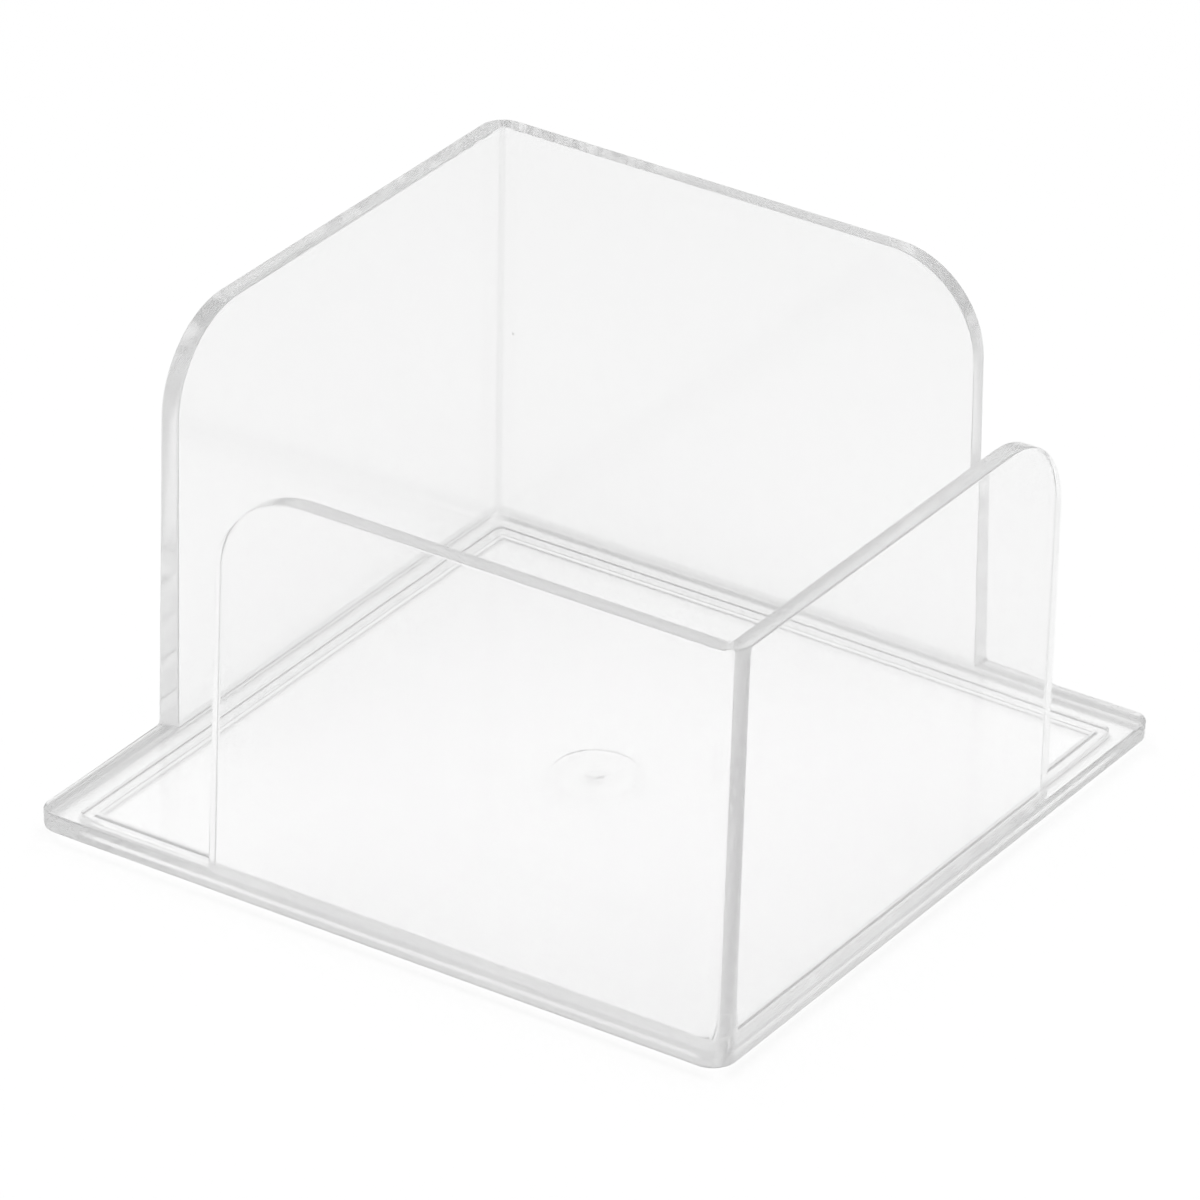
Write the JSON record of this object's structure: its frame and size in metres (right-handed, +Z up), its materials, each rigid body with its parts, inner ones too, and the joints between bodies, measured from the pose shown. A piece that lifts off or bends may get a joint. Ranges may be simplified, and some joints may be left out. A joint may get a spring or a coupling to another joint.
{
  "type": "memo box",
  "caption": "Clear plastic desk box for loose square memo sheets: a square plate with two L-shaped corner walls and two open corners for the fingers.",
  "frame": {"origin": "middle of the footprint, at the level that the foot ring stands on", "axes": "+Z up; the front corner wall runs along the -Y and +X sides, the rear corner wall along the +Y and -X sides"},
  "size_m": [0.0998, 0.0998, 0.0574],
  "materials": {
    "clear_plastic": "polished, clear and colourless"
  },
  "bodies": {
    "root": {"base_plate": "clear_plastic", "front_corner_wall": "clear_plastic", "rear_corner_wall": "clear_plastic", "foot_ring": "clear_plastic"}
  },
  "joints": []
}
